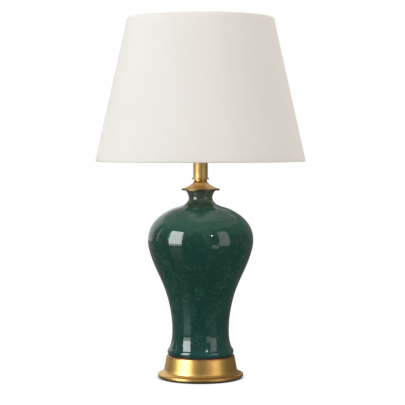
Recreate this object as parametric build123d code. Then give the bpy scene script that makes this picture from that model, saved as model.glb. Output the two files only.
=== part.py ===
from build123d import *
import math
import os

# Table lamp with a glazed baluster jar, a spun brass foot, a brass neck, a harp and a tapered
# fabric shade. Millimetres, +Z up, origin at the centre of the underside, front towards -Y.
# Heights run upwards piece by piece: each piece starts where the one that carries it ends.

os.makedirs("parts", exist_ok=True)

# ---------------------------------------------------------------- driving dimensions
rest_gap = 0.1              # between pieces that rest on each other but move apart
fit_gap = 0.05              # round a fixed pin, bolt or tube in its hole
running_gap = 0.08          # round a pin or stem that turns in its hole
soft_edge = 0.4             # radius on the edges of spun brass
round_share = 0.4           # share of a bead's, ring's or tongue's thickness that is rounded
screw_slot_w = 0.8
screw_slot_d = 0.6

pad_t = 3.0                 # soft pad under the foot
pad_inset = 1.5             # how far the pad stands back from the rim

foot_rim_r = 73.5           # spun brass foot
foot_rim_edge = 4.4         # height of the upright rim
foot_rim_round = 1.4        # radius on the rim's upper edge
foot_h = 36.0
foot_sweep_r = 64.0         # where the line of the cone meets the level of the rim's top
foot_top_r = 58.2
foot_flare = 9.0            # radius of the hollow flare above the rim
foot_shoulder = 3.0
foot_wall = 1.5
foot_lip_w = 7.5            # turned-in lip that the pad is glued to

cord_hole_h = 24.0          # centre of the cord's hole above the pad, at the back
cord_hole_r = 5.0
grommet_bore_r = 3.4
grommet_flange_r = 7.0
grommet_flange_t = 2.0

foot_gasket_t = 1.0

jar_h = 284.7               # glazed jar
jar_foot_r = 55.2
jar_roll_r = 57.0
jar_roll_h = 4.4            # from the foot up to the widest line of its roll
jar_waist_r = 48.85
jar_waist_h = 43.0          # from the foot up to the waist
jar_belly_r = 90.7
jar_shoulder_h = 70.1       # from the belly up to the neck
jar_neck_r = 20.5
jar_flare_h = 16.1          # from the neck up to the lip
jar_lip_r = 28.6
jar_wall = 5.5
jar_floor_t = 7.0
jar_recess_h = 3.0          # hollow under the jar, inside its foot ring
jar_recess_r = 46.0
jar_pipe_hole_r = 7.0

pipe_r = 5.0                # threaded pipe that clamps everything between its two ends
pipe_bore_r = 3.5
pipe_below_nut = 3.0
nut_af = 17.0
nut_h = 6.0
lock_washer_r = 9.0
lock_washer_t = 2.0
lock_washer_split = 2.0
foot_washer_r = 22.0
foot_washer_t = 2.0

cap_rim_r = 32.8            # bell-shaped cap on the jar's neck
cap_rim_edge = 2.4
cap_brim_r = 21.5           # where the sloping brim turns up into the bell
cap_brim_rise = 4.4
cap_bell_rise = 13.9        # from the rim's top to the end of the bell
cap_top_r = 10.8
cap_h = 16.2                # from the rim's top to the flat top
cap_wall = 1.2
neck_gasket_r = 26.0
neck_gasket_w = 3.6
neck_gasket_t = 1.2         # at its outer edge

ring_r = 14.8               # turned ring between cap and tube
ring_t = 2.6

tube_r = 12.5
tube_wall = 1.0
tube_h = 35.8
tube_washer_r = 13.2
tube_washer_t = 1.4

saddle_t = 1.5              # strip that holds the harp
saddle_w = 13.0
saddle_half = 27.0          # from the axis to the inner face of an arm
saddle_bend_r = 1.5
saddle_arm_h = 4.0          # wide part of an arm above the strip
tongue_w = 3.4              # narrow tongue that a ferrule drops over
tongue_h = 11.0
saddle_nut_af = 14.0
saddle_nut_h = 2.6

harp_h = 215.9              # from the saddle's underside to the shade's seat
harp_wire_r = 2.0
harp_half_w = 55.0
harp_leg_h = 44.4           # height of the corner where a leg turns outwards
harp_leg_bend = 28.0
harp_side_h = 89.4          # height of the corner where the side turns upright
harp_side_bend = 40.0
harp_top_bend = 50.0
harp_boss_r = 5.5
harp_boss_h = 4.5

ferrule_h = 12.5
ferrule_wall = 0.8
ferrule_bead = 0.45
ferrule_bead_h = 1.2

stud_r = 3.1                # threaded stud that the shade and finial sit on
stud_shank_r = 2.5
stud_seat_r = 8.0
stud_seat_t = 1.5
stud_h = 10.0               # above the seat
stud_point = 0.6            # chamfer on its threaded end
stud_head_r = 4.2
stud_head_t = 1.2

cap_collar_r = 8.0          # socket's cap, a dish on a collar
cap_collar_h = 5.5
cap_collar_edge = 0.6
cap_collar_root = 2.0
socket_cap_r = 19.2
socket_cap_h = 21.0
socket_cap_wall = 1.0
socket_dish_rise = 3.5
socket_dish_bend = 7.0
set_screw_r = 1.6
set_screw_h = 2.3           # above the collar's underside
set_screw_proud = 1.0
bushing_bore_r = 2.8
bushing_flange_r = 5.6
bushing_flange_t = 1.2
bushing_spigot_h = 4.0
body_r = 15.2               # moulded block in the socket
body_h = 25.5
body_above_collar = 5.0     # clear space for the leads under the body
terminal_flat = 12.5        # from the axis to the face under a screw's head
terminal_notch_w = 10.6
terminal_notch_h = 9.9
terminal_h = 5.5            # screws above the body's underside
terminal_head_r = 3.0
terminal_head_t = 2.0
terminal_shank_r = 1.5
terminal_shank_l = 6.2
screw_shell_r = 13.7
screw_shell_wall = 0.4
screw_shell_h = 24.0
screw_shell_hole_r = 8.0
contact_w = 5.0
contact_t = 0.5
contact_half_l = 5.6
shell_r = 17.2              # brass shell over the socket
shell_skirt_r = 18.1
shell_wall = 0.6
shell_h = 47.0
shell_skirt_h = 6.6
shell_skirt_in = 6.1        # how far the skirt goes down into the cap
shell_taper_h = 1.6
shell_bead = 0.5
shell_slot_r = 2.8          # hole for the switch's stem
insulator_r = 16.2
insulator_wall = 0.8
insulator_up = 1.0          # how far it stands up from the shell's lower edge
insulator_short = 2.5       # how much shorter it is than the shell

stem_r = 2.0                # rotary switch
stem_h = 16.5               # above the body's underside
stem_in = 6.0               # how deep it sits in the body
knob_r = 6.5
knob_l = 13.0
knob_bore_l = 7.8
knob_gap = 0.6              # to the socket's cap
knob_end_r = 2.6
knob_flutes = 10
knob_flute_r = 1.1
knob_flute_out = 0.44       # centre of a flute outside the knob's own radius
knob_collar_l = 2.0         # plain collar at the inner end

bulb_l = 107.0              # screw-in bulb
bulb_r = 30.0
bulb_waist_turn = 35.0      # degrees below the bulb's middle where the round part ends
bulb_base_r = 12.9
bulb_base_h = 26.0
bulb_base_taper = 2.2
bulb_base_in = 2.6          # how much narrower the taper's lower end is
bulb_base_lip = 0.5
bulb_base_lip_h = 1.6
bulb_neck_r = 12.4
bulb_neck_h = 4.0           # straight neck above the metal base
bulb_glass = 0.8
bulb_seat_gap = 3.2         # from the socket's body to the bulb's tip
bulb_tip_r = 4.6
bulb_tip_t = 1.8
bulb_tip_round = 1.2
bulb_insulator_r = 9.7
bulb_insulator_h = 2.8
bulb_insulator_edge = 0.5
bulb_insulator_step = 0.6

shade_bottom_r = 180.0      # tapered shade
shade_top_r = 125.0
shade_h = 244.3
shade_recess = 20.0         # from the shade's top down to its seat
cover_t = 0.6
liner_t = 0.4
shade_wire_r = 1.5
hem_play = 0.15             # between a wire and the edge rolled round it
hem_turn = 290.0            # how far the cover's edge is rolled round its wire, in degrees
liner_back = 0.3            # from the rolled edges to the liner's own
spoke_count = 3
spoke_sink = 0.75           # how deep the spokes' ends are pressed into the hub
spoke_bend = 7.0
spoke_out = 9.0             # how far a spoke comes in from the ring while it drops
hub_r = 11.0
hub_t = 1.6
hub_hole_r = 3.5
spoke_end_r = 8.0           # where a spoke ends on the hub

finial_base_r = 6.5
finial_base_h = 4.5
finial_base_round = 1.0
finial_neck_r = 4.2
finial_neck_h = 2.0
finial_ball_r = 8.0
finial_h = 22.0

# ---------------------------------------------------------------- heights, from the table up
foot_z = pad_t
deck_z = foot_z + foot_h
jar_z = deck_z + foot_gasket_t
jar_neck_h = jar_h - jar_flare_h
jar_belly_h = jar_neck_h - jar_shoulder_h
jar_top_z = jar_z + jar_h
brim_slope = cap_brim_rise / (cap_rim_r - cap_brim_r)
brim_wall_drop = cap_wall * math.hypot(1, brim_slope)
cap_z = jar_top_z + neck_gasket_t + brim_wall_drop - (cap_rim_r - neck_gasket_r) * brim_slope
ring_z = cap_z + cap_h
tube_z = ring_z + ring_t
tube_washer_z = tube_z + tube_h
saddle_z = tube_washer_z + tube_washer_t
saddle_nut_z = saddle_z + saddle_t
seat_z = saddle_z + harp_h
socket_z = saddle_nut_z + saddle_nut_h + rest_gap
socket_rim_z = socket_z + socket_cap_h
set_screw_z = socket_z + set_screw_h
shell_z = socket_rim_z - shell_skirt_in
body_z = socket_z + cap_collar_h + body_above_collar
body_top_z = body_z + body_h
bulb_z = body_top_z + bulb_seat_gap
stem_z = body_z + stem_h
shade_top_z = seat_z + shade_recess
shade_bottom_z = shade_top_z - shade_h
finial_z = seat_z + hub_t + rest_gap

foot_washer_z = deck_z - foot_wall - foot_washer_t
lock_washer_z = foot_washer_z - lock_washer_t
nut_z = lock_washer_z - nut_h
pipe_z = nut_z - pipe_below_nut
pipe_top_z = socket_z + cap_collar_h + socket_cap_wall


# ---------------------------------------------------------------- helpers
def lathe(*edges):
    """Solid turned about Z from edges drawn as (radius, height), closed to the axis if open."""
    outline = list(edges)
    start = outline[0] @ 0
    end = outline[-1] @ 1
    if (start - end).length > 1e-6:
        outline.append(Line(end, start))
    return revolve(Plane.XZ * make_face(outline), Axis.Z)


def disc(radius, bottom, height, hole=0.0):
    """Round plate or tube standing on the height bottom."""
    solid = Pos(0, 0, bottom) * Cylinder(radius, height, align=(Align.CENTER, Align.CENTER, Align.MIN))
    if hole > 0:
        solid -= Pos(0, 0, bottom) * Cylinder(hole, height, align=(Align.CENTER, Align.CENTER, Align.MIN))
    return solid


def hexagon(across_flats, bottom, height, hole):
    """Hexagon nut standing on the height bottom."""
    nut = extrude(Pos(0, 0, bottom) * RegularPolygon(across_flats / 2, 6, major_radius=False), height)
    return nut - disc(hole, bottom, height)


def rod(radius, start, end):
    """Round rod between two points."""
    line = Line(start, end)
    return sweep(Plane(origin=line @ 0, z_dir=line % 0) * Circle(radius), path=line)


def between(low, high, rise, swell):
    """Station of an outline that lies at the given shares of the height and radius between two."""
    return (low[0] + swell * (high[0] - low[0]), low[1] + rise * (high[1] - low[1]))


# ---------------------------------------------------------------- foot
def foot_outline(inset, bottom):
    """Outline of the foot, drawn in by a wall where inset is the wall's thickness."""
    points = [
        (0, bottom),
        (foot_rim_r - inset, bottom),
        (foot_rim_r - inset, foot_z + foot_rim_edge - inset),
        (foot_sweep_r - inset, foot_z + foot_rim_edge - inset),
        (foot_top_r - inset, deck_z - inset),
        (0, deck_z - inset),
    ]
    rim_round = max(foot_rim_round - inset, soft_edge)
    return FilletPolyline(*points, radius=[soft_edge, rim_round, foot_flare + inset, foot_shoulder - inset])


def foot_wall_place():
    """Plane on the outside of the foot's cone, at the cord's hole, facing outwards."""
    cone_z = foot_z + foot_rim_edge
    lean = (foot_sweep_r - foot_top_r) / (deck_z - cone_z)
    height = foot_z + cord_hole_h
    radius = foot_sweep_r - lean * (height - cone_z)
    return Plane(origin=(0, radius, height), x_dir=(1, 0, 0), z_dir=(0, 1, lean))


def make_foot():
    lip_hole = foot_rim_r - foot_lip_w
    solid = lathe(foot_outline(0, foot_z))
    hollow = lathe(foot_outline(foot_wall, foot_z + foot_wall))
    hole = foot_wall_place() * Cylinder(cord_hole_r, 4 * foot_wall)
    shell = solid - hollow - disc(lip_hole, foot_z, foot_wall)
    return shell - disc(pipe_r + fit_gap, deck_z - foot_wall, foot_wall) - hole, solid, hollow


def make_grommet(foot_solid, foot_hollow):
    place = foot_wall_place()
    base = (Align.CENTER, Align.CENTER, Align.MIN)
    outside = place * Cylinder(grommet_flange_r, 2 * grommet_flange_t) - foot_solid
    flange_depth = foot_wall + grommet_flange_t
    inside = place * Pos(0, 0, -flange_depth) * Cylinder(grommet_flange_r, 2 * grommet_flange_t, align=base)
    inside = inside & foot_hollow
    middle = place * Pos(0, 0, -flange_depth) * Cylinder(cord_hole_r, flange_depth + grommet_flange_t, align=base)
    bore = place * Cylinder(grommet_bore_r, 6 * flange_depth)
    return outside + inside + middle - bore


# ---------------------------------------------------------------- jar
def jar_outline():
    """Outline of the jar from the edge of its foot to its lip."""
    foot = (jar_foot_r, 0)
    roll = (jar_roll_r, jar_roll_h)
    waist = (jar_waist_r, jar_waist_h)
    belly = (jar_belly_r, jar_belly_h)
    neck = (jar_neck_r, jar_neck_h)
    lip = (jar_lip_r, jar_h)
    hollow = between(roll, waist, 0.17, 0.36)
    foot_roll = ThreePointArc(foot, roll, hollow)
    body = Spline(
        hollow,
        between(roll, waist, 0.42, 0.76),
        waist,
        between(waist, belly, 0.25, 0.098),
        between(waist, belly, 0.50, 0.376),
        between(waist, belly, 0.68, 0.677),
        between(waist, belly, 0.86, 0.923),
        belly,
        between(belly, neck, 0.34, 0.098),
        between(belly, neck, 0.62, 0.373),
        between(belly, neck, 0.78, 0.702),
        between(belly, neck, 0.88, 0.935),
        neck,
        between(neck, lip, 0.55, 0.28),
        lip,
    )
    return foot_roll, body


def jar_cavity(body):
    """Outline of the jar's inside, one wall in from its body."""
    floor_h = jar_recess_h + jar_floor_t
    inner = []
    for share in (0.03, 0.08, 0.16, 0.26, 0.36, 0.46, 0.55, 0.63, 0.70, 0.77, 0.83, 0.88):
        along = body % share
        normal = Vector(-along.Y, along.X).normalized()
        inner.append((body @ share) + normal * jar_wall)
    neck = (jar_neck_r - jar_wall, jar_neck_h)
    inner.append(neck)
    wall = Spline(*inner)
    floor = Polyline((0, floor_h), (inner[0].X, floor_h), (inner[0].X, inner[0].Y))
    mouth = Polyline(neck, (neck[0], jar_h), (0, jar_h))
    return floor, wall, mouth


def make_jar():
    foot_roll, body = jar_outline()
    sides = Polyline((0, 0), (jar_foot_r, 0)), foot_roll, body, Line((jar_lip_r, jar_h), (0, jar_h))
    jar = lathe(*sides) - lathe(*jar_cavity(body))
    jar -= disc(jar_recess_r, 0, jar_recess_h)
    jar -= disc(jar_pipe_hole_r, jar_recess_h, jar_floor_t)
    return Pos(0, 0, jar_z) * jar


# ---------------------------------------------------------------- pipe and its fasteners
def make_pipe():
    return disc(pipe_r, pipe_z, pipe_top_z - pipe_z, pipe_bore_r)


def make_lock_washer():
    ring = disc(lock_washer_r, lock_washer_z, lock_washer_t, pipe_r + fit_gap)
    slit = Pos(lock_washer_r, 0, lock_washer_z) * Rot(0, 0, 20) * Box(
        2 * lock_washer_r, lock_washer_split, 3 * lock_washer_t
    )
    return ring - slit


# ---------------------------------------------------------------- neck
def cap_outline(inset):
    """Outline of the neck cap from its rim to its flat top."""
    drop = inset * math.hypot(1, brim_slope)
    rim = (cap_rim_r - inset, cap_z - cap_rim_edge)
    rim_top = (cap_rim_r - inset, cap_z - drop + inset * brim_slope)
    brim = (cap_brim_r, cap_z + cap_brim_rise - drop)
    bell = (cap_top_r - inset, cap_z + cap_bell_rise)
    upright = Polyline((0, rim[1]), rim, rim_top, brim)
    cove = TangentArc(brim, bell, tangent=(cap_brim_r - cap_rim_r, cap_brim_rise))
    top = Polyline(bell, (bell[0], ring_z - inset), (0, ring_z - inset))
    return upright, cove, top


def make_neck_cap():
    bell = lathe(*cap_outline(0)) - lathe(*cap_outline(cap_wall))
    return bell - disc(pipe_r + fit_gap, ring_z - cap_wall, cap_wall)


def make_neck_gasket():
    """Soft ring on the jar's lip; its top follows the underside of the cap's brim."""
    outer = neck_gasket_r
    inner = neck_gasket_r - neck_gasket_w
    rise = neck_gasket_w * brim_slope
    return lathe(
        Polyline(
            (inner, jar_top_z),
            (outer, jar_top_z),
            (outer, jar_top_z + neck_gasket_t),
            (inner, jar_top_z + neck_gasket_t + rise),
            (inner, jar_top_z),
        )
    )


def make_check_ring():
    ring = disc(ring_r, ring_z, ring_t, pipe_r + fit_gap)
    return fillet(ring.edges().filter_by(GeomType.CIRCLE).group_by(SortBy.RADIUS)[-1], ring_t * round_share)


# ---------------------------------------------------------------- harp, saddle and ferrules
harp_leg_x = saddle_half - rest_gap - harp_wire_r
latch_half = (saddle_half + saddle_t - harp_leg_x + harp_wire_r) / 2
ferrule_x = harp_leg_x - harp_wire_r + latch_half
ferrule_bore_r = math.hypot(latch_half, tongue_w / 2) + rest_gap
ferrule_z = saddle_nut_z + saddle_arm_h + rest_gap
harp_top_z = seat_z - stud_seat_t - rest_gap - harp_boss_h / 2


def make_saddle():
    outer = saddle_half + saddle_t
    shoulder = saddle_nut_z + saddle_arm_h
    tip = shoulder + tongue_h
    bends = [saddle_bend_r + saddle_t] * 2
    outside = FilletPolyline((-outer, tip), (-outer, saddle_z), (outer, saddle_z), (outer, tip), radius=bends)
    inside = FilletPolyline(
        (saddle_half, tip),
        (saddle_half, saddle_nut_z),
        (-saddle_half, saddle_nut_z),
        (-saddle_half, tip),
        radius=[saddle_bend_r] * 2,
    )
    ends = Line((outer, tip), (saddle_half, tip)), Line((-saddle_half, tip), (-outer, tip))
    strip = extrude(Plane.XZ * make_face([outside, ends[0], inside, ends[1]]), saddle_w / 2, both=True)
    for side in (-1, 1):
        spare = (saddle_w - tongue_w) / 2
        strip -= Pos(0, side * (tongue_w + spare) / 2, shoulder + tongue_h / 2) * Box(
            3 * outer, spare, tongue_h
        )
    tips = strip.edges().filter_by(Axis.X).group_by(Axis.Z)[-1]
    strip = fillet(tips, tongue_w * round_share)
    return strip - disc(pipe_r + fit_gap, saddle_z, saddle_t)


def make_harp():
    """Bent wire that is one loop, with a bored boss at its top."""
    leg_corner = saddle_z + harp_leg_h
    side_corner = saddle_z + harp_side_h
    foot = saddle_nut_z + saddle_bend_r + rest_gap
    right = [
        (harp_half_w, harp_top_z),
        (harp_half_w, side_corner),
        (harp_leg_x, leg_corner),
        (harp_leg_x, foot),
    ]
    left = [(-x, z) for x, z in reversed(right)]
    bends = [harp_leg_bend, harp_side_bend, harp_top_bend]
    path = Plane.XZ * FilletPolyline(*left, *right, radius=bends + bends[::-1])
    wire = sweep(Plane(origin=path @ 0, z_dir=path % 0) * Circle(harp_wire_r), path=path)
    boss = disc(harp_boss_r, harp_top_z - harp_boss_h / 2, harp_boss_h)
    return wire + boss - disc(stud_shank_r + running_gap, harp_top_z - harp_boss_h / 2, harp_boss_h)


def make_ferrule(side):
    outer = ferrule_bore_r + ferrule_wall
    sleeve = disc(outer, 0, ferrule_h)
    for bottom in (0, ferrule_h - ferrule_bead_h):
        bead = disc(outer + ferrule_bead, bottom, ferrule_bead_h)
        sleeve += fillet(bead.edges().filter_by(GeomType.CIRCLE), ferrule_bead_h * round_share)
    sleeve -= disc(ferrule_bore_r, 0, ferrule_h)
    return Pos(side * ferrule_x, 0, ferrule_z) * sleeve


def make_stud():
    """Swivel stud: rivet head under the harp's boss, seat above it, threaded end on top."""
    boss_bottom = harp_top_z - harp_boss_h / 2
    seat_bottom = seat_z - stud_seat_t
    head = disc(stud_head_r, boss_bottom - rest_gap - stud_head_t, stud_head_t)
    shank = disc(stud_shank_r, boss_bottom - rest_gap, seat_bottom - boss_bottom + rest_gap)
    seat = disc(stud_seat_r, seat_bottom, stud_seat_t)
    thread = disc(stud_r, seat_z, stud_h)
    thread = chamfer(thread.edges().group_by(Axis.Z)[-1], stud_point)
    return head + shank + seat + thread


# ---------------------------------------------------------------- socket
def make_socket_cap():
    dish_z = socket_z + cap_collar_h
    inner_r = socket_cap_r - socket_cap_wall
    outside = FilletPolyline(
        (0, socket_z),
        (cap_collar_r, socket_z),
        (cap_collar_r, dish_z),
        (socket_cap_r, dish_z + socket_dish_rise),
        (socket_cap_r, socket_rim_z),
        (0, socket_rim_z),
        radius=[cap_collar_edge, cap_collar_root, socket_dish_bend, 0],
    )
    inside = FilletPolyline(
        (0, dish_z + socket_cap_wall),
        (cap_collar_r, dish_z + socket_cap_wall),
        (inner_r, dish_z + socket_dish_rise + socket_cap_wall),
        (inner_r, socket_rim_z),
        (0, socket_rim_z),
        radius=[cap_collar_root / 2, socket_dish_bend - socket_cap_wall, 0],
    )
    cap = lathe(outside) - lathe(inside)
    cap -= disc(pipe_r + fit_gap, socket_z, cap_collar_h + 2 * socket_cap_wall)
    screw_hole = rod(set_screw_r + fit_gap, (0, 0, set_screw_z), (0, 2 * cap_collar_r, set_screw_z))
    return cap - screw_hole


def make_set_screw():
    start = pipe_r + fit_gap
    end = cap_collar_r + fit_gap + set_screw_proud
    screw = rod(set_screw_r, (0, start, set_screw_z), (0, end, set_screw_z))
    return screw - Pos(0, end, set_screw_z) * Box(3 * set_screw_r, 2 * screw_slot_d, screw_slot_w)


def make_bushing():
    spigot = disc(pipe_bore_r - fit_gap, pipe_top_z - bushing_spigot_h, bushing_spigot_h)
    flange = disc(bushing_flange_r, pipe_top_z, bushing_flange_t)
    bore = disc(bushing_bore_r, pipe_top_z - bushing_spigot_h, bushing_spigot_h + bushing_flange_t)
    return spigot + flange - bore


def make_socket_body():
    """Moulded block that carries the terminals, the switch and the screw shell."""
    body = disc(body_r, body_z, body_h)
    for side in (-1, 1):
        middle = side * (terminal_flat + body_r / 2)
        body -= Pos(middle, 0, body_z + terminal_h) * Box(body_r, terminal_notch_w, terminal_notch_h)
    screws = rod(
        terminal_shank_r + fit_gap,
        (-terminal_flat, 0, body_z + terminal_h),
        (terminal_flat, 0, body_z + terminal_h),
    )
    stem = rod(stem_r + running_gap, (0, -2 * body_r, stem_z), (0, stem_in - body_r + rest_gap, stem_z))
    return body - screws - stem


def make_terminal_screws():
    screws = []
    height = body_z + terminal_h
    for side in (-1, 1):
        inner = side * (terminal_flat - terminal_shank_l)
        seat = side * terminal_flat
        end = side * (terminal_flat + terminal_head_t)
        slot = Pos(end, 0, height) * Box(2 * screw_slot_d, 3 * terminal_head_r, screw_slot_w)
        screw = rod(terminal_shank_r, (inner, 0, height), (end, 0, height))
        screw += rod(terminal_head_r, (seat, 0, height), (end, 0, height))
        screws.append(screw - slot)
    return Compound(children=screws)


def make_screw_shell():
    shell = disc(screw_shell_r, body_top_z, screw_shell_h)
    inside = screw_shell_h - screw_shell_wall
    shell -= disc(screw_shell_r - screw_shell_wall, body_top_z + screw_shell_wall, inside)
    return shell - disc(screw_shell_hole_r, body_top_z, screw_shell_wall)


def make_contact():
    """Sprung strip under the bulb's tip, folded back on itself."""
    reach = contact_half_l
    rise = bulb_seat_gap - 2 * rest_gap
    t = contact_t
    side_view = Polyline(
        (-reach, 0),
        (reach + t, 0),
        (reach + t, 2 * t),
        (0, rise),
        (-reach / 2, rise),
        (-reach / 2, rise - t),
        (-t / 2, rise - t),
        (reach - t, t),
        (-reach, t),
        close=True,
    )
    return Pos(0, 0, body_top_z) * extrude(Plane.XZ * make_face(side_view), contact_w / 2, both=True)


def stem_slot():
    """Room for the switch's stem in the sleeve and the shell."""
    return rod(shell_slot_r, (0, 0, stem_z), (0, -2 * shell_skirt_r, stem_z))


def make_socket_shell():
    step = shell_z + shell_skirt_h
    wide = step + shell_taper_h
    top = shell_z + shell_h
    shell = lathe(
        Polyline(
            (shell_skirt_r, shell_z),
            (shell_skirt_r, step),
            (shell_r, wide),
            (shell_r, top),
            (shell_r - shell_wall, top),
            (shell_r - shell_wall, wide),
            (shell_skirt_r - shell_wall, step),
            (shell_skirt_r - shell_wall, shell_z),
            (shell_skirt_r, shell_z),
        )
    )
    shell += Pos(0, 0, top - shell_bead) * Torus(shell_r - shell_wall / 2, shell_bead)
    return shell - stem_slot()


def make_insulator():
    sleeve_h = shell_h - insulator_short
    sleeve = disc(insulator_r, shell_z + insulator_up, sleeve_h, insulator_r - insulator_wall)
    return sleeve - stem_slot()


# ---------------------------------------------------------------- switch
def make_stem():
    outer_end = socket_cap_r + knob_gap + knob_bore_l
    return rod(stem_r, (0, stem_in - body_r, stem_z), (0, -outer_end, stem_z))


def make_knob():
    """Fluted knob with a domed end, pressed on the stem."""
    inner_end = (Align.CENTER, Align.CENTER, Align.MIN)
    knob = Cylinder(knob_r, knob_l, align=inner_end)
    knob = fillet(knob.edges().group_by(Axis.Z)[-1], knob_end_r)
    flute = Pos(knob_r + knob_flute_out, 0, knob_collar_l) * Cylinder(knob_flute_r, knob_l, align=inner_end)
    knob -= PolarLocations(0, knob_flutes) * flute
    knob -= Cylinder(stem_r + fit_gap, knob_bore_l + rest_gap, align=inner_end)
    place = Plane(origin=(0, -(socket_cap_r + knob_gap), stem_z), x_dir=(1, 0, 0), z_dir=(0, -1, 0))
    return place * knob


# ---------------------------------------------------------------- bulb
def make_bulb_contact():
    tip = disc(bulb_tip_r, bulb_z, bulb_tip_t)
    return fillet(tip.edges().group_by(Axis.Z)[0], bulb_tip_round)


def make_bulb_insulator():
    bottom = bulb_z + bulb_tip_t
    top = bottom + bulb_insulator_h
    return lathe(
        Polyline(
            (0, bottom),
            (bulb_tip_r + bulb_insulator_step, bottom),
            (bulb_insulator_r, top - bulb_insulator_edge),
            (bulb_insulator_r, top),
            (0, top),
        )
    )


def make_bulb_base():
    bottom = bulb_z + bulb_tip_t + bulb_insulator_h
    top = bulb_z + bulb_base_h
    cup = lathe(
        Polyline(
            (0, bottom),
            (bulb_base_r - bulb_base_in, bottom),
            (bulb_base_r, bottom + bulb_base_taper),
            (bulb_base_r, top - bulb_base_lip_h),
            (bulb_base_r + bulb_base_lip, top),
            (0, top),
        )
    )
    return cup - disc(bulb_neck_r + fit_gap, bulb_z + bulb_base_h / 2, bulb_base_h)


def bulb_outline(inset):
    """Outline of the glass from its neck to its crown."""
    centre = bulb_z + bulb_l - bulb_r
    radius = bulb_r - inset
    meet = math.radians(-bulb_waist_turn)
    neck = (bulb_neck_r - inset, bulb_z + bulb_base_h + bulb_neck_h)
    start = (bulb_neck_r - inset, bulb_z + bulb_base_h / 2 + rest_gap)
    join = (radius * math.cos(meet), centre + radius * math.sin(meet))
    waist = Spline(neck, join, tangents=[(0, 1), (-math.sin(meet), math.cos(meet))])
    crown = CenterArc((0, centre), radius, math.degrees(meet), 90 - math.degrees(meet))
    return Polyline((0, start[1]), start, neck), waist, crown


def make_bulb_glass():
    return lathe(*bulb_outline(0)) - lathe(*bulb_outline(bulb_glass))


# ---------------------------------------------------------------- shade
shade_lean = math.atan2(shade_bottom_r - shade_top_r, shade_h)
shade_slant = math.hypot(shade_bottom_r - shade_top_r, shade_h)
hem_r = shade_wire_r + hem_play + cover_t


def slant_plane():
    """Plane of the shade's section: x runs in from the outer face, y runs up the slant."""
    inwards = (-math.cos(shade_lean), 0, -math.sin(shade_lean))
    return Plane(origin=(shade_bottom_r, 0, shade_bottom_z), x_dir=inwards, z_dir=(0, 1, 0))


def on_section(across, along):
    """Radius and height of a point of the shade's section."""
    place = slant_plane().from_local_coords((across, along, 0))
    return place.X, place.Z


def shade_section(*edges):
    return revolve(slant_plane() * make_face(edges), Axis.Z)


def make_cover():
    """Cloth of the shade, each edge rolled round its wire."""
    top = shade_slant - hem_r
    inner = hem_r - cover_t
    bottom_roll = CenterArc((hem_r, hem_r), hem_r, 180, hem_turn)
    bottom_back = CenterArc((hem_r, hem_r), inner, 180, hem_turn)
    top_roll = CenterArc((hem_r, top), hem_r, 180, -hem_turn)
    top_back = CenterArc((hem_r, top), inner, 180, -hem_turn)
    cover = shade_section(
        Line((0, top), (0, hem_r)),
        bottom_roll,
        Line(bottom_roll @ 1, bottom_back @ 1),
        bottom_back,
        Line((cover_t, hem_r), (cover_t, top)),
        top_back,
        Line(top_back @ 1, top_roll @ 1),
        top_roll,
    )
    for spoke in spokes(shade_wire_r + 2 * rest_gap):
        cover -= spoke
    return cover


def make_liner():
    clear = 2 * hem_r + liner_back
    outline = Polyline(
        (cover_t, clear),
        (cover_t, shade_slant - clear),
        (cover_t + liner_t, shade_slant - clear),
        (cover_t + liner_t, clear),
        close=True,
    )
    return shade_section(outline)


def wire_ring(along):
    """Wire hoop inside a rolled edge of the cover."""
    radius, height = on_section(hem_r, along)
    return Pos(0, 0, height) * Torus(radius, shade_wire_r)


def spokes(radius):
    """Spokes that drop from the top hoop to the hub."""
    ring_radius, ring_height = on_section(hem_r, shade_slant - hem_r)
    level = seat_z + hub_t + shade_wire_r - spoke_sink
    bend = ring_radius - spoke_out
    path = Plane.XZ * FilletPolyline(
        (ring_radius, ring_height), (bend, level), (spoke_end_r, level), radius=[spoke_bend]
    )
    spoke = sweep(Plane(origin=path @ 0, z_dir=path % 0) * Circle(radius), path=path)
    return [Rot(0, 0, 90 + turn * 360 / spoke_count) * spoke for turn in range(spoke_count)]


def make_fitter():
    """Top hoop, spokes and hub, welded into one frame."""
    frame = wire_ring(shade_slant - hem_r) + disc(hub_r, seat_z, hub_t)
    for spoke in spokes(shade_wire_r):
        frame += spoke
    return frame - disc(hub_hole_r, seat_z, hub_t + 4 * shade_wire_r)


# ---------------------------------------------------------------- finial
def make_finial_base():
    base = disc(finial_base_r, finial_z, finial_base_h, stud_r + running_gap)
    return fillet(base.edges().filter_by(GeomType.CIRCLE).group_by(SortBy.RADIUS)[-1], finial_base_round)


def make_finial_ball():
    bottom = finial_z + finial_base_h
    top = finial_z + finial_h
    ball = Pos(0, 0, top - finial_ball_r) * Sphere(finial_ball_r)
    neck = disc(finial_neck_r, bottom, finial_neck_h + finial_ball_r / 2)
    stud_room = seat_z + stud_h + 2 * running_gap - bottom
    return ball + neck - disc(stud_r + running_gap, bottom, stud_room)


# ---------------------------------------------------------------- build
foot_shell, foot_solid, foot_hollow = make_foot()

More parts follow.
